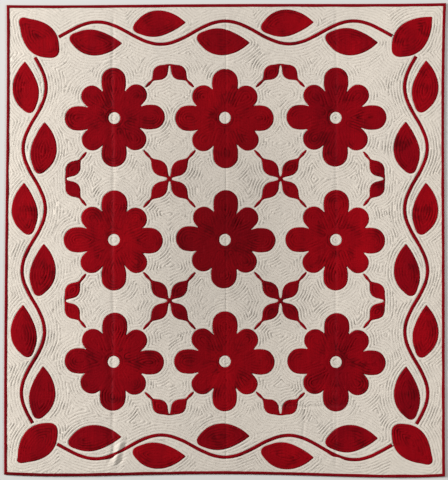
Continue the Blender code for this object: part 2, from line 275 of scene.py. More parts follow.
def even_lines(low, high):
    """Places from low to high, a lattice step apart as nearly as a multiple of four steps allows."""
    return np.linspace(low, high, 4 * round((high - low) / LATTICE / 4) + 1)


def from_outline(x, y, start, end, along):
    """For each point: its way from the nearest place on the stretches, how far along that is, and
    whether the point is inside.

    The nearest place on a stretch is the foot of the perpendicular, kept between its ends. A
    point is inside where a line to its right crosses the outline an odd number of times.
    """
    way = (end - start).astype(np.float32)
    from_x = x[:, None] - start[None, :, 0].astype(np.float32)
    from_y = y[:, None] - start[None, :, 1].astype(np.float32)
    share = np.clip((from_x * way[:, 0] + from_y * way[:, 1]) / (way**2).sum(1), 0, 1)
    off_x, off_y = from_x - share * way[:, 0], from_y - share * way[:, 1]
    nearest = np.argmin(off_x**2 + off_y**2, axis=1)
    row = np.arange(len(x))
    over_end = y[:, None] - end[None, :, 1].astype(np.float32) >= 0
    left_of = (from_x * way[:, 1] - from_y * way[:, 0] < 0) == (way[:, 1] > 0)
    crossings = (((from_y >= 0) != over_end) & left_of).sum(1)
    run = along[nearest] + share[row, nearest] * np.sqrt((way**2).sum(1))[nearest]
    return off_x[row, nearest], off_y[row, nearest], run, crossings % 2 == 1


half_width, half_length = WIDTH / 2 - EDGE_IN, LENGTH / 2 - EDGE_IN
left_lines, right_lines = even_lines(-half_width, SEAM_X), even_lines(SEAM_X, half_width)
seam_column = len(left_lines) - 1
true_x, true_y = np.meshgrid(
    np.concatenate([left_lines, right_lines[1:]]), even_lines(-half_length, half_length)
)
plan_x, plan_y = spread(true_x, true_y)
inset = np.minimum(half_width - abs(true_x), half_length - abs(true_y))

distance = np.full(plan_x.shape, REACH)
away_x, away_y, edge_run = (np.zeros_like(distance) for array in range(3))
owner = np.full(plan_x.shape, -1)
for key, node in enumerate(CUT_NODES):
    start, end, along = outlines[node]
    low, high = start.min(0) - REACH, start.max(0) + REACH
    near = (plan_x > low[0]) & (plan_x < high[0]) & (plan_y > low[1]) & (plan_y < high[1])
    rows, columns = np.nonzero(near)
    for part in np.array_split(np.arange(len(rows)), 1 + len(rows) * len(start) // 3_000_000):
        i, j = rows[part], columns[part]
        x, y = plan_x[i, j].astype(np.float32), plan_y[i, j].astype(np.float32)
        off_x, off_y, run, inside = from_outline(x, y, start, end, along)
        span = np.hypot(off_x, off_y)
        taken = inside | ((span < distance[i, j]) & (distance[i, j] > 0))
        i, j, sign, span = i[taken], j[taken], np.where(inside, -1, 1)[taken], span[taken]
        distance[i, j] = sign * span
        away_x[i, j] = sign * off_x[taken] / (span + 1e-9)
        away_y[i, j] = sign * off_y[taken] / (span + 1e-9)
        edge_run[i, j] = run[taken]
        owner[i, j] = key
side_of_edge = distance.copy()

slope_y, slope_x = np.gradient(distance, LATTICE)
clear = ease((np.hypot(slope_x, slope_y) - MEETING_SLOPE) / SLOPE_EASE)
wobble = sum(far * waver(plan_x, plan_y, long) for far, long in WOBBLES)
distance += wobble * np.clip(abs(distance) / WOBBLE_GROWS - 0.2, 0, 1)
# A line that two neighbours leave between them takes the nearer one, and one that both would
# take keeps the nearer one. Halfway between two lines, such a pair stays a little apart.
level = np.round(distance / LEVEL)
for one, other in PAIRS:
    beyond = distance / LEVEL - level
    further = abs(beyond[one]) > abs(beyond[other])
    apart = abs(distance[one] - distance[other]) / LATTICE
    skipped = (abs(level[one] - level[other]) == 2) & ((level[one] + level[other]) / 2 % 3 == 0)
    doubled = (level[one] == level[other]) & (level[one] % 3 == 0) & (apart > ACROSS_LINES)
    level[one] += np.where((skipped | doubled) & further, np.sign(beyond[one]), 0)
    level[other] += np.where((skipped | doubled) & ~further, np.sign(beyond[other]), 0)
beyond = distance / LEVEL - level
to_middle = np.where(level % 3 == 1, beyond, -beyond) > 0
for one, other in PAIRS:
    apart = abs(distance[one] - distance[other]) / LATTICE
    doubled = (level[one] == level[other]) & (level[one] % 3 != 0) & (apart > ACROSS_LINES)
    clear[one][doubled & to_middle[one]] = 0
    clear[other][doubled & to_middle[other]] = 0
clear[level == 0] = 1
clear[[0, -1]] = 0
clear[:, [0, seam_column, -1]] = 0
shift = (level * LEVEL - distance) * clear


def corner_areas(x, y):
    """Twice the area of each cell's two triangles, for the rising and for the falling split."""
    ax, bx, cx, dx = x[:-1, :-1], x[:-1, 1:], x[1:, 1:], x[1:, :-1]
    ay, by, cy, dy = y[:-1, :-1], y[:-1, 1:], y[1:, 1:], y[1:, :-1]

    def twice(px, py, qx, qy, rx, ry):
        return (qx - px) * (ry - py) - (qy - py) * (rx - px)

    rising = np.minimum(twice(ax, ay, bx, by, cx, cy), twice(ax, ay, cx, cy, dx, dy))
    falling = np.minimum(twice(ax, ay, bx, by, dx, dy), twice(bx, by, cx, cy, dx, dy))
    return rising, falling


cell_corners = [(rows, columns) for rows in (np.s_[:-1], np.s_[1:]) for columns in (np.s_[:-1], np.s_[1:])]
for attempt in range(ROUNDS):
    rising, falling = corner_areas(plan_x + away_x * shift, plan_y + away_y * shift)
    poor = np.maximum(rising, falling) < THIN_CELL * LATTICE**2
    touched = np.zeros(plan_x.shape, bool)
    for rows, columns in cell_corners:
        touched[rows, columns] |= poor
    shift[touched & ((level != 0) | (attempt >= EDGE_ROUNDS))] *= DRAW_LESS
on_edge = (level == 0) & (abs(shift + distance) < ON_EDGE)
plan_x += away_x * shift
plan_y += away_y * shift
distance += shift

# Stitches are counted along each line. Where the count jumps, two runs meet, and the stitches
# there and next to there are left out.
line = np.round(distance / LINE_STEP)
stitching = (edge_run + line * LINE_STEP * np.arctan2(away_y, away_x)) / STITCH
skipped_stitch = np.zeros(distance.shape, bool)
for one, other in PAIRS:
    jump = (line[one] == line[other]) & (abs(stitching[one] - stitching[other]) > STITCH_JUMP)
    skipped_stitch[one] |= jump
    skipped_stitch[other] |= jump
for one, other in PAIRS:
    wider = skipped_stitch.copy()
    wider[one] |= skipped_stitch[other]
    wider[other] |= skipped_stitch[one]
    skipped_stitch = wider


# The cream top
# Two widths of plain woven cream cotton, seamed up the middle, lie on the wadding. The cloth
# goes on under the red pieces, where it is flat and coarser in the mesh, because it is hidden.

CREAM_PUFF = 0.00228
PUFF_POWER, PUFF_MIDDLE = 2.3, 0.45
# The puffs start this far in from the raw edge, and are whole after this width.
PUFF_START, PUFF_GROWS = 0.012, 0.014
PUFF_LEAST, PUFF_MOST = 0.22, 1.80
# Under a red piece the cream sinks by this much, over this width.
HIDDEN_SINK, SINK_OVER = 0.0005, 0.006
# The top never comes lower than this, so that the back stays below it.
LOWEST = 0.0006
# A cell splits the way that leaves both triangles larger, if one would be under this share.
SMALL_TRIANGLE = 0.12
SLIVER_ROUNDS = 24

row_count, column_count = plan_x.shape
index = np.arange(plan_x.size).reshape(plan_x.shape)
flat_x, flat_y, flat_distance = plan_x.ravel(), plan_y.ravel(), distance.ravel()
base_height = cloth_height(flat_x, flat_y, inset.ravel())
fading = ease((inset.ravel() - PUFF_START) / PUFF_GROWS)
uneven = (
    0.40 * waver(flat_x, flat_y, 0.052)
    + 0.38 * waver(flat_y, -flat_x, 0.097)
    + 0.42 * waver(flat_y, flat_x, 0.31)
)
puff_size = fading * np.clip(1 + uneven, PUFF_LEAST, PUFF_MOST)
rising, falling = corner_areas(plan_x, plan_y)
a, b, c, d = distance[:-1, :-1], distance[:-1, 1:], distance[1:, 1:], distance[1:, :-1]
small = SMALL_TRIANGLE * LATTICE**2
split_rising = np.where(
    (rising < small) | (falling < small), rising > falling, abs(a - c) <= abs(b - d)
)


def cell_faces(cells):
    """Two triangles for each chosen cell, split as its corners are most alike in distance."""
    rows, columns = np.nonzero(cells)
    a, b = index[rows, columns], index[rows, columns + 1]
    c, d = index[rows + 1, columns + 1], index[rows + 1, columns]
    rises = split_rising[rows, columns][:, None]
    first = np.where(rises, np.stack([a, b, c], 1), np.stack([a, b, d], 1))
    second = np.where(rises, np.stack([a, c, d], 1), np.stack([b, c, d], 1))
    return np.concatenate([first, second])


def block_faces(cells):
    """Triangles for hidden cells: fans round the middles of blocks two and four cells wide.

    A fan takes a side whole where the next block is as large, and in halves or quarters where it
    is smaller, so that the mesh has no gaps.
    """
    rows, columns = cells.shape
    two = cells.reshape(rows // 2, 2, columns // 2, 2).all((1, 3))
    four = two.reshape(rows // 4, 2, columns // 4, 2).all((1, 3))
    two_padded, four_padded = np.pad(two, 1), np.pad(four, 1)
    faces = [cell_faces(cells & ~two.repeat(2, 0).repeat(2, 1))]
    for step_row, step_column in ((-1, 0), (0, 1), (1, 0), (0, -1)):
        for size, blocks in ((2, two & ~four.repeat(2, 0).repeat(2, 1)), (4, four)):
            i, j = np.nonzero(blocks)
            middle = index[size * i + size // 2, size * j + size // 2]
            row_one = size * i + (size if (step_row, step_column) in ((0, -1), (1, 0)) else 0)
            column_one = size * j + (size if (step_row, step_column) in ((0, 1), (1, 0)) else 0)
            turn_row, turn_column = step_column, -step_row
            if size == 4:
                whole = four_padded[i + 1 + step_row, j + 1 + step_column]
                faces.append(side_faces(middle, row_one, column_one, turn_row, turn_column, 0, 4, whole))
                starts = (0, 2)
            else:
                whole, starts = np.zeros(len(i), bool), (0,)
            for start in starts:
                mid_row = row_one + turn_row * (start + 1)
                mid_column = column_one + turn_column * (start + 1)
                next_row = (mid_row + (step_row - 1) // 2 * (step_row != 0)) // 2
                next_column = (mid_column + (step_column - 1) // 2 * (step_column != 0)) // 2
                coarse = two_padded[next_row + 1, next_column + 1] & ~whole
                fine = ~two_padded[next_row + 1, next_column + 1] & ~whole
                faces.append(
                    side_faces(middle, row_one, column_one, turn_row, turn_column, start, 2, coarse)
                )
                for half in (0, 1):
                    faces.append(
                        side_faces(
                            middle, row_one, column_one, turn_row, turn_column, start + half, 1, fine
                        )
                    )
    return np.concatenate(faces)


def side_faces(middle, row, column, turn_row, turn_column, start, count, chosen):
    """A triangle from a block's middle to a stretch of its side, for each chosen block."""
    one = index[
        row[chosen] + turn_row * start,
        column[chosen] + turn_column * start,
    ]
    other = index[
        row[chosen] + turn_row * (start + count),
        column[chosen] + turn_column * (start + count),
    ]
    return np.stack([middle[chosen], one, other], 1)


def add_cloth(name, faces, places, **marks):
    """A smooth mesh of these triangles at these places, with named values for its material."""
    used, faces = np.unique(faces, return_inverse=True)
    faces = faces.reshape(-1, 3)
    mesh = bpy.data.meshes.new(name)
    mesh.vertices.add(len(used))
    mesh.vertices.foreach_set("co", places[used].astype(np.float32).ravel())
    mesh.loops.add(faces.size)
    mesh.loops.foreach_set("vertex_index", faces.ravel().astype(np.int32))
    mesh.polygons.add(len(faces))
    mesh.polygons.foreach_set("loop_start", np.arange(0, faces.size, 3, dtype=np.int32))
    mesh.polygons.foreach_set("use_smooth", np.ones(len(faces), bool))
    mesh.update(calc_edges=True)
    for mark, value in marks.items():
        layer = mesh.attributes.new(mark, "FLOAT", "POINT")
        layer.data.foreach_set("value", value[used].astype(np.float32))
    cloth = bpy.data.objects.new(name, mesh)
    bpy.context.scene.collection.objects.link(cloth)
    return cloth


def puff_profile(distance):
    """The rise between two stitched lines: one less the way out from the middle to a power."""
    return 1 - abs(2 * (abs(distance) / LINE_STEP % 1) - 1) ** PUFF_POWER


# A triangle is red if it lies inside a cut edge, and belongs to the piece that its deepest corner
# is in. Cream that can't be reached from open ground is a sliver in a cleft, and is red too.
corner_side = np.where(on_edge, 0, np.sign(side_of_edge)).ravel()
all_cells = np.ones((row_count - 1, column_count - 1), bool)
every_face = cell_faces(all_cells)
face_side = corner_side[every_face]
leaning = np.sign(side_of_edge.ravel()[every_face].sum(1))
is_red = np.where((face_side == 0).all(1), leaning, face_side.sum(1)) < 0
deepest = np.argmin(side_of_edge.ravel()[every_face], axis=1)
red_key = owner.ravel()[every_face[np.arange(len(every_face)), deepest]]
reached = (side_of_edge > LEVEL).ravel()
for attempt in range(SLIVER_ROUNDS):
    reached[every_face[~is_red & (reached[every_face].sum(1) > 1)]] = True
is_red |= reached[every_face].sum(1) < 2

worn = sum(worn * bell for rise, worn, bell in crease_bells(flat_x, flat_y, 0.9))
beside = sum(worn * bell for rise, worn, bell in crease_bells(flat_x + 0.022, flat_y, 2.0))
depth = np.clip(-side_of_edge.ravel() / SINK_OVER, 0, 1)
cream_rise = np.where(side_of_edge.ravel() > 0, puff_profile(flat_distance), 0) - PUFF_MIDDLE
cream_height = base_height + CREAM_PUFF * puff_size * cream_rise - HIDDEN_SINK * ease(depth)
cream_height = np.maximum(cream_height, LOWEST)
cream_places = np.stack([flat_x, flat_y, cream_height], 1)
# For the materials: lines counted out from a cut edge, stitches counted along a line, whether they
# are sewn there, how worn a crease is, and how dark the cloth beside it.
marks = {
    "quilting": abs(flat_distance) / LINE_STEP,
    "stitching": stitching.ravel(),
    "sewn": np.where(skipped_stitch, 0.0, 1.0).ravel(),
    "worn": worn,
    "beside": beside,
}

covered = (side_of_edge < -LEVEL) & ~on_edge
hidden = covered[:-1, :-1] & covered[:-1, 1:] & covered[1:, 1:] & covered[1:, :-1]
halves = {
    "ground_left": np.arange(column_count - 1) < seam_column,
    "ground_right": np.arange(column_count - 1) >= seam_column,
}


def node(tree, kind, inputs=(), **settings):
    """A node with these settings, and its inputs joined to sockets or set to values."""
    made = tree.nodes.new(kind if kind.startswith("Node") else "ShaderNode" + kind)
    for key, value in settings.items():
        setattr(made, key, value)
    for key, value in dict(inputs).items():
        if isinstance(value, bpy.types.NodeSocket):
            tree.links.new(value, made.inputs[key])
        else:
            made.inputs[key].default_value = value
    return made


def worked(tree, operation, *values):
    """What a maths node makes of these numbers or sockets."""
    return node(tree, "Math", enumerate(values), operation=operation).outputs[0]


def ramp(tree, value, low, high, bottom=0.0, top=1.0):
    """A smooth ramp from bottom to top as the value goes from low to high."""
    ends = {"Value": value, "From Min": low, "From Max": high, "To Min": bottom, "To Max": top}
    return node(tree, "MapRange", ends, interpolation_type="SMOOTHSTEP").outputs["Result"]


def cloudy(tree, place, scale, detail=2.0, stretch=(1, 1, 1)):
    """Noise from 0 to 1 with this many clouds a metre, stretched along the axes."""
    spot = node(tree, "Mapping", {"Vector": place, "Scale": [scale * way for way in stretch]})
    clouds = {"Vector": spot.outputs[0], "Scale": 1.0, "Detail": detail}
    return node(tree, "TexNoise", clouds).outputs[0]


def mixed(tree, share, one, other):
    """A colour that goes from one to the other as the share goes from 0 to 1."""
    mix = tree.nodes.new("ShaderNodeMix")
    mix.data_type = "RGBA"
    for socket, value in zip((mix.inputs[0], mix.inputs[6], mix.inputs[7]), (share, one, other)):
        if isinstance(value, bpy.types.NodeSocket):
            tree.links.new(value, socket)
        elif isinstance(value, float):
            socket.default_value = value
        else:
            socket.default_value = (*value, 1)
    return mix.outputs[2]


def new_group(name, outputs):
    """An empty node group with these named number outputs, and its output node."""
    group = bpy.data.node_groups.new(name, "ShaderNodeTree")
    for label in outputs:
        group.interface.new_socket(label, in_out="OUTPUT", socket_type="NodeSocketFloat")
    return group, node(group, "NodeGroupOutput")


def finish_group(group, given, outputs):
    """Joins each named output of a group to its socket."""
    for label, socket in outputs.items():
        group.links.new(socket, given.inputs[label])
    return group


# From thread to thread, across and along.
WARP_STEP, WEFT_STEP = 0.00055, 0.00060


def woven_cloth():
    """Plain weave: threads over and under as two crossed sines, and slubs as long thin noise."""
    group, given = new_group("woven cloth", ("Height", "Slub"))
    place = node(group, "TexCoord").outputs["Object"]
    across, along = node(group, "SeparateXYZ", {0: place}).outputs[:2]
    warp = worked(group, "SINE", worked(group, "MULTIPLY", across, np.pi / WARP_STEP))
    weft = worked(group, "SINE", worked(group, "MULTIPLY", along, np.pi / WEFT_STEP))
    height = worked(group, "ABSOLUTE", worked(group, "MULTIPLY", warp, weft))
    upright = cloudy(group, place, 1, 3.0, (260, 5, 1))
    level_slub = cloudy(group, place, 1, 3.0, (6, 300, 1))
    slub = worked(
        group,
        "ADD",
        worked(group, "MULTIPLY", upright, 1.3),
        worked(group, "MULTIPLY", level_slub, 0.7),
    )
    return finish_group(group, given, {"Height": height, "Slub": worked(group, "SUBTRACT", slub, 1.0)})


def stitched_lines():
    """Hollows along the lines where the value quilting is whole, and fine crinkles between them.

    Each whole step of the value stitching has a stitch, and cloth gathered up after it.
    """
    group, given = new_group("stitched lines", ("Hollow", "Stitch", "Pucker"))
    place = node(group, "TexCoord").outputs["Object"]
    lines = node(group, "Attribute", attribute_name="quilting").outputs["Fac"]
    run = node(group, "Attribute", attribute_name="stitching").outputs["Fac"]
    sewn = node(group, "Attribute", attribute_name="sewn").outputs["Fac"]
    off_line = worked(group, "PINGPONG", lines, 0.5)
    beat = worked(group, "PINGPONG", run, 0.5)
    hollow = ramp(group, off_line, 0.0, 0.24, 1.0, 0.0)
    thread = worked(group, "MULTIPLY", ramp(group, off_line, 0.022, 0.045, 1.0, 0.0), sewn)
    stitch = worked(group, "MULTIPLY", thread, ramp(group, beat, 0.17, 0.23))
    by_line = worked(group, "MULTIPLY", ramp(group, off_line, 0.0, 0.26, 1.0, 0.0), sewn)
    gather = worked(group, "MULTIPLY", ramp(group, beat, 0.0, 0.36, 1.0, 0.0), by_line)
    fine, broad = cloudy(group, place, 150, 2.0), cloudy(group, place, 60, 1.0)
    crinkle = worked(group, "MULTIPLY_ADD", broad, 0.8, fine)
    eased = worked(group, "MULTIPLY", crinkle, ramp(group, off_line, 0.05, 0.45, 1.0, 0.45))
    pucker = worked(group, "MULTIPLY_ADD", gather, 0.22, eased)
    return finish_group(group, given, {"Hollow": hollow, "Stitch": stitch, "Pucker": pucker})


def wash_wear_and_shade():
    """Clouds and upright bands of fading, painted shade over the middle, worn creases, patches and specks.

    Each is smooth noise or a distance, carried through a ramp.
    """
    labels = ("Cloud", "Band", "Middle", "Worn", "Beside", "Patch", "Speck")
    group, given = new_group("fading, wearing and painted shade", labels)
    place = node(group, "TexCoord").outputs["Object"]
    across, along = node(group, "SeparateXYZ", {0: place}).outputs[:2]
    # Painted shade: the quilt is darker towards its middle, away from its sides and ends.
    from_sides = ramp(group, worked(group, "ABSOLUTE", across), 0.08, 0.66, 1.0, 0.0)
    from_ends = ramp(group, worked(group, "ABSOLUTE", along), 0.20, 0.80, 1.0, 0.45)
    cloud = cloudy(group, place, 5.5, 3.0)
    band = cloudy(group, place, 1, 2.0, (9, 0.7, 1))
    line = node(group, "Attribute", attribute_name="worn").outputs["Fac"]
    scratch = ramp(group, cloudy(group, place, 1, 3.0, (190, 28, 1)), 0.30, 0.62)
    beside = node(group, "Attribute", attribute_name="beside").outputs["Fac"]
    outputs = {
        "Cloud": cloud,
        "Band": band,
        "Middle": worked(group, "MULTIPLY", from_sides, from_ends),
        "Worn": worked(group, "MULTIPLY", line, scratch),
        "Beside": beside,
        "Patch": ramp(group, cloudy(group, place, 12, 3.0), 0.44, 0.68),
        "Speck": ramp(group, cloudy(group, place, 330, 2.0), 0.50, 0.66),
    }
    return finish_group(group, given, outputs)


weave_group, stitch_group, wear_and_shade_group = woven_cloth(), stitched_lines(), wash_wear_and_shade()


def start_material(name, roughness, shine, sheen):
    """A matt material, its node tree and its shader."""
    material = bpy.data.materials.new(name)
    material.use_nodes = True
    shader = next(n for n in material.node_tree.nodes if n.type == "BSDF_PRINCIPLED")
    shader.inputs["Roughness"].default_value = roughness
    shader.inputs["Specular IOR Level"].default_value = shine
    shader.inputs["Sheen Weight"].default_value = sheen
    shader.inputs["Sheen Roughness"].default_value = 0.5
    return material, material.node_tree, shader


def placed(tree, group):
    """A group's outputs, placed in a material."""
    holder = tree.nodes.new("ShaderNodeGroup")
    holder.node_tree = group
    return holder.outputs


# A stitch sinks by this share of the puckers' depth.
STITCH_SINK = -0.16
THREAD_DEPTH = 0.00006


def rough_face(tree, shader, weave, stitches, pucker_depth):
    """Bumps the face by its puckers and sunk stitches, and then by its threads."""
    folded = worked(tree, "MULTIPLY_ADD", stitches["Stitch"], STITCH_SINK, stitches["Pucker"])
    first = node(tree, "Bump", {"Height": folded, "Distance": pucker_depth, "Strength": 1.0})
    threads = {"Height": weave["Height"], "Distance": THREAD_DEPTH, "Strength": 0.5}
    second = node(tree, "Bump", {**threads, "Normal": first.outputs[0]})
    tree.links.new(second.outputs[0], shader.inputs["Normal"])


def cream_material():
    """Cream cotton: yellow and grey clouds, painted light and a yellower tone at the sides, dust and
    painted shade in hollows, painted shade in the middle, and worn folds.
    """
    material, tree, shader = start_material("cream_cotton", 0.90, 0.12, 0.03)
    weave, stitches, wear_and_shade = (placed(tree, group) for group in (weave_group, stitch_group, wear_and_shade_group))
    place = node(tree, "TexCoord").outputs["Object"]
    across = node(tree, "SeparateXYZ", {0: place}).outputs[0]
    # Partly a yellower tone and partly painted light: the cream is brighter towards the left and right
    # sides.
    lit_sides = ramp(tree, worked(tree, "ABSOLUTE", across), 0.45, 1.0)
    tone_and_side_light = worked(
        tree,
        "ADD",
        worked(tree, "MULTIPLY", wear_and_shade["Cloud"], 0.8),
        worked(tree, "MULTIPLY", lit_sides, 0.35),
    )
    tone_and_side_light = worked(tree, "ADD", tone_and_side_light, worked(tree, "MULTIPLY", wear_and_shade["Band"], 0.25))
    colour = mixed(tree, worked(tree, "SUBTRACT", tone_and_side_light, 0.15), (0.545, 0.497, 0.438), (0.634, 0.570, 0.490))
    # Painted shade over the middle of the quilt.
    colour = mixed(tree, worked(tree, "MULTIPLY", wear_and_shade["Middle"], 0.60), colour, (0.380, 0.345, 0.304))
    slubs = worked(tree, "MULTIPLY_ADD", weave["Slub"], 0.30, 0.10)
    colour = mixed(tree, slubs, colour, (0.500, 0.445, 0.380))
    # Dust and painted shade: the hollows darken in places, less so next to the red pieces.
    dust_and_shade = ramp(tree, cloudy(tree, place, 4.0, 3.0), 0.42, 0.66, 0.40, 0.75)
    blotches = ramp(tree, cloudy(tree, place, 62, 2.0), 0.36, 0.62, 0.35, 1.35)
    dust_and_shade = worked(tree, "MULTIPLY", dust_and_shade, blotches)
    lines = node(tree, "Attribute", attribute_name="quilting").outputs["Fac"]
    from_red = ramp(tree, lines, 0.20, 0.60, 0.15, 1.0)
    dust_and_shade = worked(tree, "MULTIPLY", dust_and_shade, from_red)
    specks = worked(tree, "MULTIPLY_ADD", wear_and_shade["Speck"], 0.7, 0.5)
    grime_and_shade = worked(tree, "MULTIPLY", worked(tree, "MULTIPLY", stitches["Hollow"], dust_and_shade), specks)
    colour = mixed(tree, grime_and_shade, colour, (0.300, 0.255, 0.215))
    colour = mixed(tree, worked(tree, "MULTIPLY", stitches["Stitch"], 0.55), colour, (0.610, 0.545, 0.455))
    colour = mixed(tree, worked(tree, "MULTIPLY", wear_and_shade["Worn"], 0.22), colour, (0.400, 0.350, 0.300))
    tree.links.new(colour, shader.inputs["Base Color"])
    rough_face(tree, shader, weave, stitches, 0.0010)
    return material


cream_cotton = cream_material()

for name, columns in halves.items():
    mine = all_cells & columns[None, :]
    faces = np.concatenate([cell_faces(mine & ~hidden), block_faces(mine & hidden)])
    ground = add_cloth(name, faces, cream_places, **marks)
    ground.data.materials.append(cream_cotton)
    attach(ground, "root")
    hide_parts("quilt_body")


# The red pieces
# Flowers, sprays, vines and leaves of red cotton lie on the cream, each with its edge turned
# under and stitched down along the fold, and are quilted through with the rest.

RED_PUFF = 0.00175
# The cloth lies this far up at its edge and in its middle, and rises over this width.
EDGE_LIFT, CLOTH_LIFT, LIFT_OVER = 0.00045, 0.00100, 0.005
# The fold stands out this far, at this share of the lift, and its foot sinks in this deep.
FOLD_ROUND, FOLD_SHARE, FOOT_SINK = 0.00035, 0.45, 0.0003
CLEFT_ROUNDS = 6


def red_material(name, dark, bright, hollow_colour):
    """Red cotton: deeper and brighter in bands and clouds, painted shade in the hollows and the middle,
    pink where folds wore it.
    """
    material, tree, shader = start_material(name, 0.88, 0.04, 0.0)
    weave, stitches, wear_and_shade = (placed(tree, group) for group in (weave_group, stitch_group, wear_and_shade_group))
    place = node(tree, "TexCoord").outputs["Object"]
    tone = worked(
        tree,
        "ADD",
        worked(tree, "MULTIPLY", wear_and_shade["Cloud"], 1.5),
        worked(tree, "MULTIPLY", wear_and_shade["Band"], 1.3),
    )
    colour = mixed(tree, worked(tree, "SUBTRACT", tone, 0.90), dark, bright)
    slubs = worked(tree, "MULTIPLY_ADD", weave["Slub"], 0.55, 0.12)
    colour = mixed(tree, slubs, colour, hollow_colour)
    # Painted shade: the stitched hollows are darker, strongly in patches and faintly elsewhere.
    hollow_shade_patches = worked(tree, "MULTIPLY_ADD", wear_and_shade["Patch"], 1.0, 0.03)
    sunk = worked(tree, "MULTIPLY", stitches["Hollow"], hollow_shade_patches)
    colour = mixed(tree, sunk, colour, hollow_colour)
    mottle = worked(tree, "MULTIPLY", ramp(tree, cloudy(tree, place, 34, 2.0), 0.42, 0.60), wear_and_shade["Patch"])
    colour = mixed(tree, worked(tree, "MULTIPLY", mottle, 0.52), colour, hollow_colour)
    # Painted shade over the middle of the quilt.
    colour = mixed(tree, worked(tree, "MULTIPLY", wear_and_shade["Middle"], 0.45), colour, hollow_colour)
    colour = mixed(tree, worked(tree, "MULTIPLY", wear_and_shade["Beside"], 0.30), colour, hollow_colour)
    colour = mixed(tree, worked(tree, "MULTIPLY", wear_and_shade["Worn"], 0.15), colour, (0.38, 0.045, 0.065))
    faded = ramp(tree, cloudy(tree, place, 1, 3.0, (120, 14, 1)), 0.60, 0.72, 0.0, 0.10)
    colour = mixed(tree, faded, colour, (0.330, 0.012, 0.022))
    tree.links.new(colour, shader.inputs["Base Color"])
    rough_face(tree, shader, weave, stitches, 0.0008)
    return material


reds = {
    "red_cotton": red_material(
        "red_cotton", (0.156, 0.0006, 0.0042), (0.262, 0.0010, 0.0047), (0.052, 0.0003, 0.0014)
    ),
    "bright_red_cotton": red_material(
        "bright_red_cotton", (0.186, 0.0007, 0.0042), (0.302, 0.0013, 0.0051), (0.064, 0.0003, 0.0015)
    ),
}

into = np.clip(-side_of_edge.ravel(), 0, 1)
lift = EDGE_LIFT + (CLOTH_LIFT - EDGE_LIFT) * ease(into / LIFT_OVER)
red_puff = RED_PUFF * puff_size * (1 + 0.5 * waver(flat_x + 0.13, flat_y, 0.23))
red_height = base_height + red_puff * (puff_profile(flat_distance) - PUFF_MIDDLE) + lift
edge_height = np.maximum(base_height - red_puff * PUFF_MIDDLE, LOWEST)
# Where a cleft is narrower than the lattice, the two sides meet in a soft crease.
meets_cream = np.zeros(plan_x.size, bool)
meets_cream[every_face[~is_red]] = True
in_cleft = (side_of_edge > -0.5 * LEVEL) & ~meets_cream.reshape(plan_x.shape)
in_cleft[[0, -1]] = False
in_cleft[:, [0, -1]] = False
for smoothing in range(CLEFT_ROUNDS):
    grid = red_height.reshape(plan_x.shape)
    mean = (grid[:-2, 1:-1] + grid[2:, 1:-1] + grid[1:-1, :-2] + grid[1:-1, 2:]) / 4
    grid[1:-1, 1:-1] = np.where(in_cleft[1:-1, 1:-1], mean, grid[1:-1, 1:-1])
red_places = np.stack([flat_x, flat_y, red_height], 1)
outward = np.stack([away_x.ravel(), away_y.ravel()], 1)


def turned_edge(faces):
    """Faces and places that carry a piece's rim out round its fold and down to the ground.

    Each rim edge, walked with the cloth on its left, gets two rows of quads. The first goes out
    by the fold's roundness and down by half the lift, and the second back in and to the ground.
    """
    count = plan_x.size
    edge = np.concatenate([faces[:, [0, 1]], faces[:, [1, 2]], faces[:, [2, 0]]])
    one_way, other_way = edge @ (count, 1), edge @ (1, count)
    edge = edge[~np.isin(one_way, other_way)]
    rim, at = np.unique(edge, return_inverse=True)
    at = at.reshape(-1, 2)
    fold_plan, fold_height = outward[rim] * FOLD_ROUND, edge_height[rim] + EDGE_LIFT * FOLD_SHARE
    fold = np.column_stack([red_places[rim, :2] + fold_plan, fold_height])
    foot = np.column_stack([red_places[rim, :2], edge_height[rim] - FOOT_SINK])
    tops, folds, feet = edge, count + at, count + len(rim) + at
    rows = []
    for upper, lower in ((tops, folds), (folds, feet)):
        rows.append(np.stack([upper[:, 0], lower[:, 0], lower[:, 1]], 1))
        rows.append(np.stack([upper[:, 0], lower[:, 1], upper[:, 1]], 1))
    return np.concatenate([faces, *rows]), np.concatenate([red_places, fold, foot]), rim


for key, node_name in enumerate(CUT_NODES):
    faces, places, rim = turned_edge(every_face[is_red & (red_key == key)])
    carried = {mark: np.concatenate([value, value[rim], value[rim]]) for mark, value in marks.items()}
    piece = add_cloth(node_name + "_cloth", faces, places, **carried)
    piece.data.materials.append(reds[slot_of[node_name]])
    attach(piece, "root")
    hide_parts(node_name)
    corner = places[faces]


# The back
# One plain cream cotton cloth closes the quilt below. It is quilted with the rest, and shows
# the same lines from below. It lies flat on the floor.

BACK_SKIP = 2
# Its rim is up inside the binding by this much, from this far in, over this width.
RIM_UP, RIM_IN, RIM_EASE = 0.00110, 0.018, 0.004
# Between the lines it touches the floor, and along them it is up by this much, from this far in,
# over this width.
LINE_UP, LINE_IN, LINE_EASE = 0.00025, 0.022, 0.010

rows, columns = np.arange(0, row_count, BACK_SKIP), np.arange(0, column_count, BACK_SKIP)
corner = index[np.ix_(rows, columns)]
a, b, c, d = (corner[:-1, :-1], corner[:-1, 1:], corner[1:, 1:], corner[1:, :-1])
back_faces = np.concatenate(
    [np.stack([part.ravel() for part in three], 1) for three in ((a, c, b), (a, d, c))]
)
rim_rise = RIM_UP * (1 - ease((inset.ravel() - RIM_IN) / RIM_EASE))
line_rise = LINE_UP * (1 - puff_profile(flat_distance)) * ease((inset.ravel() - LINE_IN) / LINE_EASE)
back_places = np.stack([flat_x, flat_y, rim_rise + line_rise], 1)
back = add_cloth("back", back_faces, back_places, **{**marks, "sewn": np.zeros(plan_x.size)})
back.data.materials.append(cream_cotton)
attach(back, "root")
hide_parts("quilt_body")


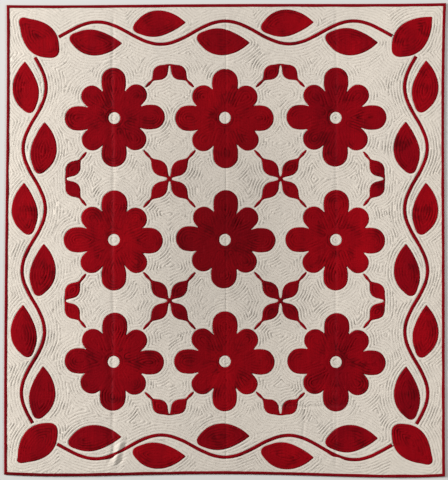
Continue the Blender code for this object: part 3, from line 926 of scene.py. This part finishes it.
# The binding
# A narrow strip of red cotton is folded over each raw edge and sewn down on both faces. Its
# ends meet in mitres at the corners. It is a little puffy, and its inner edge wavers.

BINDING_WIDE = 0.0138
BINDING_STEP = 0.006
# How much the width wavers, how much the puff does loosely and tightly, and the puckers' depth.
WIDTH_WAVER, LOOSE_PUFF, TIGHT_PUFF, PUCKER_DEPTH = 0.0011, 0.00030, 0.00022, 0.00010
PUCKER_STEP = 0.021
# The fold sinks along a mitre by this much, this far to either side.
MITRE_SINK, MITRE_HALF = 0.0008, 0.0035
# Each side's own start for its wavers.
WAVER_START = {"top": 0.3, "right": 1.7, "bottom": 3.1, "left": 4.5}
# Each place round the fold: how far in from the edge, and its height.
BINDING_ROUND = (
    (1.00, 0.00320),
    (0.985, 0.00385),
    (0.90, 0.00440),
    (0.74, 0.00485),
    (0.50, 0.00510),
    (0.26, 0.00490),
    (0.09, 0.00420),
    (0.00, 0.00285),
    (0.02, 0.00130),
    (0.10, 0.00040),
    (0.26, 0.00005),
    (0.55, 0.00000),
    (0.85, 0.00005),
    (0.96, 0.00035),
    (1.00, 0.00120),
)


def binding_strip(side):
    """The folded strip of a side: its round carried along the side, with both ends on the mitres.

    Along the side, a point runs from one mitre to the other at its own distance in from the edge.
    The width and the puff waver, and fine puckers cross the strip.
    """
    flip = side in ("left", "right")
    far = LENGTH if flip else WIDTH
    step = np.linspace(-1, 1, 2 * round(far / BINDING_STEP / 2) + 1)
    round_in, round_up = np.array(BINDING_ROUND).T
    share, way_in = np.meshgrid(step, round_in, indexing="ij")
    run = share * far / 2
    key = WAVER_START[side]
    loose = waver(run, np.full_like(run, key), 0.19)
    tight = waver(run, np.full_like(run, key + 9), 0.047)
    clear_of_end = ease((far / 2 - abs(run) - 0.02) / 0.05)
    inward = way_in * (BINDING_WIDE + WIDTH_WAVER * loose * clear_of_end)
    top_share = ease((round_up[None, :] - 0.0028) / 0.0018)
    height = round_up[None, :] + top_share * (LOOSE_PUFF * loose + TIGHT_PUFF * tight)
    pleat = np.sin(run * 2 * np.pi / PUCKER_STEP + 2.5 * np.sin(run * 17 + key))
    height = height + top_share * PUCKER_DEPTH * pleat * (1 - abs(2 * way_in - 1))
    to_mitre = far / 2 - inward - abs(share) * (far / 2 - inward)
    domed = 1 - (2 * way_in - 1) ** 2
    height = height - top_share * MITRE_SINK * domed * np.exp(-((to_mitre / MITRE_HALF) ** 2))
    along = share * (far / 2 - inward)
    outer = (WIDTH if flip else LENGTH) / 2 - inward
    outer = outer if side in ("right", "top") else -outer
    x, y = spread(outer, along) if flip else spread(along, outer)
    grid = np.arange(way_in.size).reshape(way_in.shape)
    quads = np.stack([grid[:-1, :-1], grid[1:, :-1], grid[1:, 1:], grid[:-1, 1:]], 2).reshape(-1, 4)
    if side in ("left", "top"):
        quads = quads[:, [0, 3, 2, 1]]
    faces = np.concatenate([quads[:, [0, 1, 2]], quads[:, [0, 2, 3]]])
    return faces, np.stack([x.ravel(), y.ravel(), height.ravel()], 1), far


def binding_material():
    """Smooth red cotton: soft clouds, slubs, rubbed paler places, painted shade along the foot, and darker
    at the left.
    """
    material, tree, shader = start_material("red_binding", 0.85, 0.05, 0.0)
    weave, wear_and_shade = (placed(tree, group) for group in (weave_group, wear_and_shade_group))
    place = node(tree, "TexCoord").outputs["Object"]
    colour = mixed(tree, wear_and_shade["Cloud"], (0.145, 0.0007, 0.0040), (0.215, 0.0014, 0.0052))
    slubs = worked(tree, "MULTIPLY_ADD", weave["Slub"], 0.5, 0.10)
    colour = mixed(tree, slubs, colour, (0.075, 0.0004, 0.0020))
    rubbed = ramp(tree, cloudy(tree, place, 38, 3.0), 0.56, 0.74, 0.0, 0.12)
    colour = mixed(tree, rubbed, colour, (0.300, 0.022, 0.032))
    across, along = node(tree, "SeparateXYZ", {0: place}).outputs[:2]
    # Painted shade: the binding is darker along the foot, most towards the left.
    shade_at_foot = ramp(tree, along, -1.060, -1.050, 0.42, 0.0)
    foot = worked(tree, "MULTIPLY", shade_at_foot, ramp(tree, across, 0.0, 0.7, 1.0, 0.2))
    colour = mixed(tree, foot, colour, (0.040, 0.0003, 0.0010))
    at_left = ramp(tree, across, -1.0, 1.0, 0.14, 0.0)
    colour = mixed(tree, at_left, colour, (0.040, 0.0003, 0.0010))
    tree.links.new(colour, shader.inputs["Base Color"])
    puckers = node(tree, "Bump", {"Height": cloudy(tree, place, 120, 2.0), "Distance": 0.0004})
    threads = {"Height": weave["Height"], "Distance": THREAD_DEPTH, "Strength": 0.5}
    bumped = node(tree, "Bump", {**threads, "Normal": puckers.outputs[0]})
    tree.links.new(bumped.outputs[0], shader.inputs["Normal"])
    return material


red_binding = binding_material()
for side in ("top", "right", "bottom", "left"):
    faces, places, far = binding_strip(side)
    strip = add_cloth(f"binding_{side}_cloth", faces, places)
    strip.data.materials.append(red_binding)
    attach(strip, "root")
    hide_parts(f"binding_{side}")


# The floor, the light and the camera
# A plain pale floor, a broad soft lamp from the upper left, a weaker one from the right, and a
# long lens straight above, with the photograph's margins round the quilt.

FLOOR_HALF, FLOOR_Z = 30.0, -0.0004
floor_mesh = bpy.data.meshes.new("floor")
floor_corners = [(x * FLOOR_HALF, y * FLOOR_HALF, FLOOR_Z) for x, y in ((-1, -1), (1, -1), (1, 1), (-1, 1))]
floor_mesh.from_pydata(floor_corners, [], [(0, 1, 2, 3)])
floor = bpy.data.objects.new("floor", floor_mesh)
bpy.context.scene.collection.objects.link(floor)
floor_material = bpy.data.materials.new("floor")
floor_material.use_nodes = True
floor_shader = next(n for n in floor_material.node_tree.nodes if n.type == "BSDF_PRINCIPLED")
floor_shader.inputs["Base Color"].default_value = (0.56, 0.55, 0.53, 1)
floor_shader.inputs["Roughness"].default_value = 0.9
floor_shader.inputs["Specular IOR Level"].default_value = 0.1
floor_mesh.materials.append(floor_material)


def lamp(name, place, size, power):
    """A square lamp at a place, turned towards the middle of the quilt."""
    light = bpy.data.lights.new(name, "AREA")
    light.size = size
    light.energy = power
    holder = bpy.data.objects.new(name, light)
    bpy.context.scene.collection.objects.link(holder)
    holder.location = place
    holder.rotation_euler = (-holder.location).to_track_quat("-Z", "Y").to_euler()


lamp("left_lamp", (-11.0, 3.4, 3.6), 2.2, 3400)
lamp("right_lamp", (7.5, 1.0, 4.2), 3.0, 520)

world = bpy.data.worlds.new("room")
bpy.context.scene.world = world
world.use_nodes = True
sky = next(n for n in world.node_tree.nodes if n.type == "BACKGROUND")
sky.inputs["Color"].default_value = (1.0, 0.99, 0.97, 1)
sky.inputs["Strength"].default_value = 0.20
bpy.context.scene.view_settings.view_transform = "Standard"

# A pixel's size on the quilt, whose width takes 442.4 of them.
PIXEL = 2.0119 / 442.4
# Half the picture's longer side, and how far its middle lies from the quilt's.
HALF_PICTURE = 240 * PIXEL
OFF_X, OFF_Y = -1.1 * PIXEL, 0.25 * PIXEL
LENS, SENSOR = 85.0, 36.0
FACE_Z = 0.005
middle_x, middle_y = (sum(corner[way] for corner in cad_box) / 2 for way in (0, 1))
camera_lens = bpy.data.cameras.new("camera")
camera_lens.lens, camera_lens.sensor_width = LENS, SENSOR
camera = bpy.data.objects.new("camera", camera_lens)
bpy.context.scene.collection.objects.link(camera)
camera_up = HALF_PICTURE * LENS / (SENSOR / 2) + FACE_Z
camera.location = (middle_x + OFF_X, middle_y + OFF_Y, camera_up)
bpy.context.scene.camera = camera
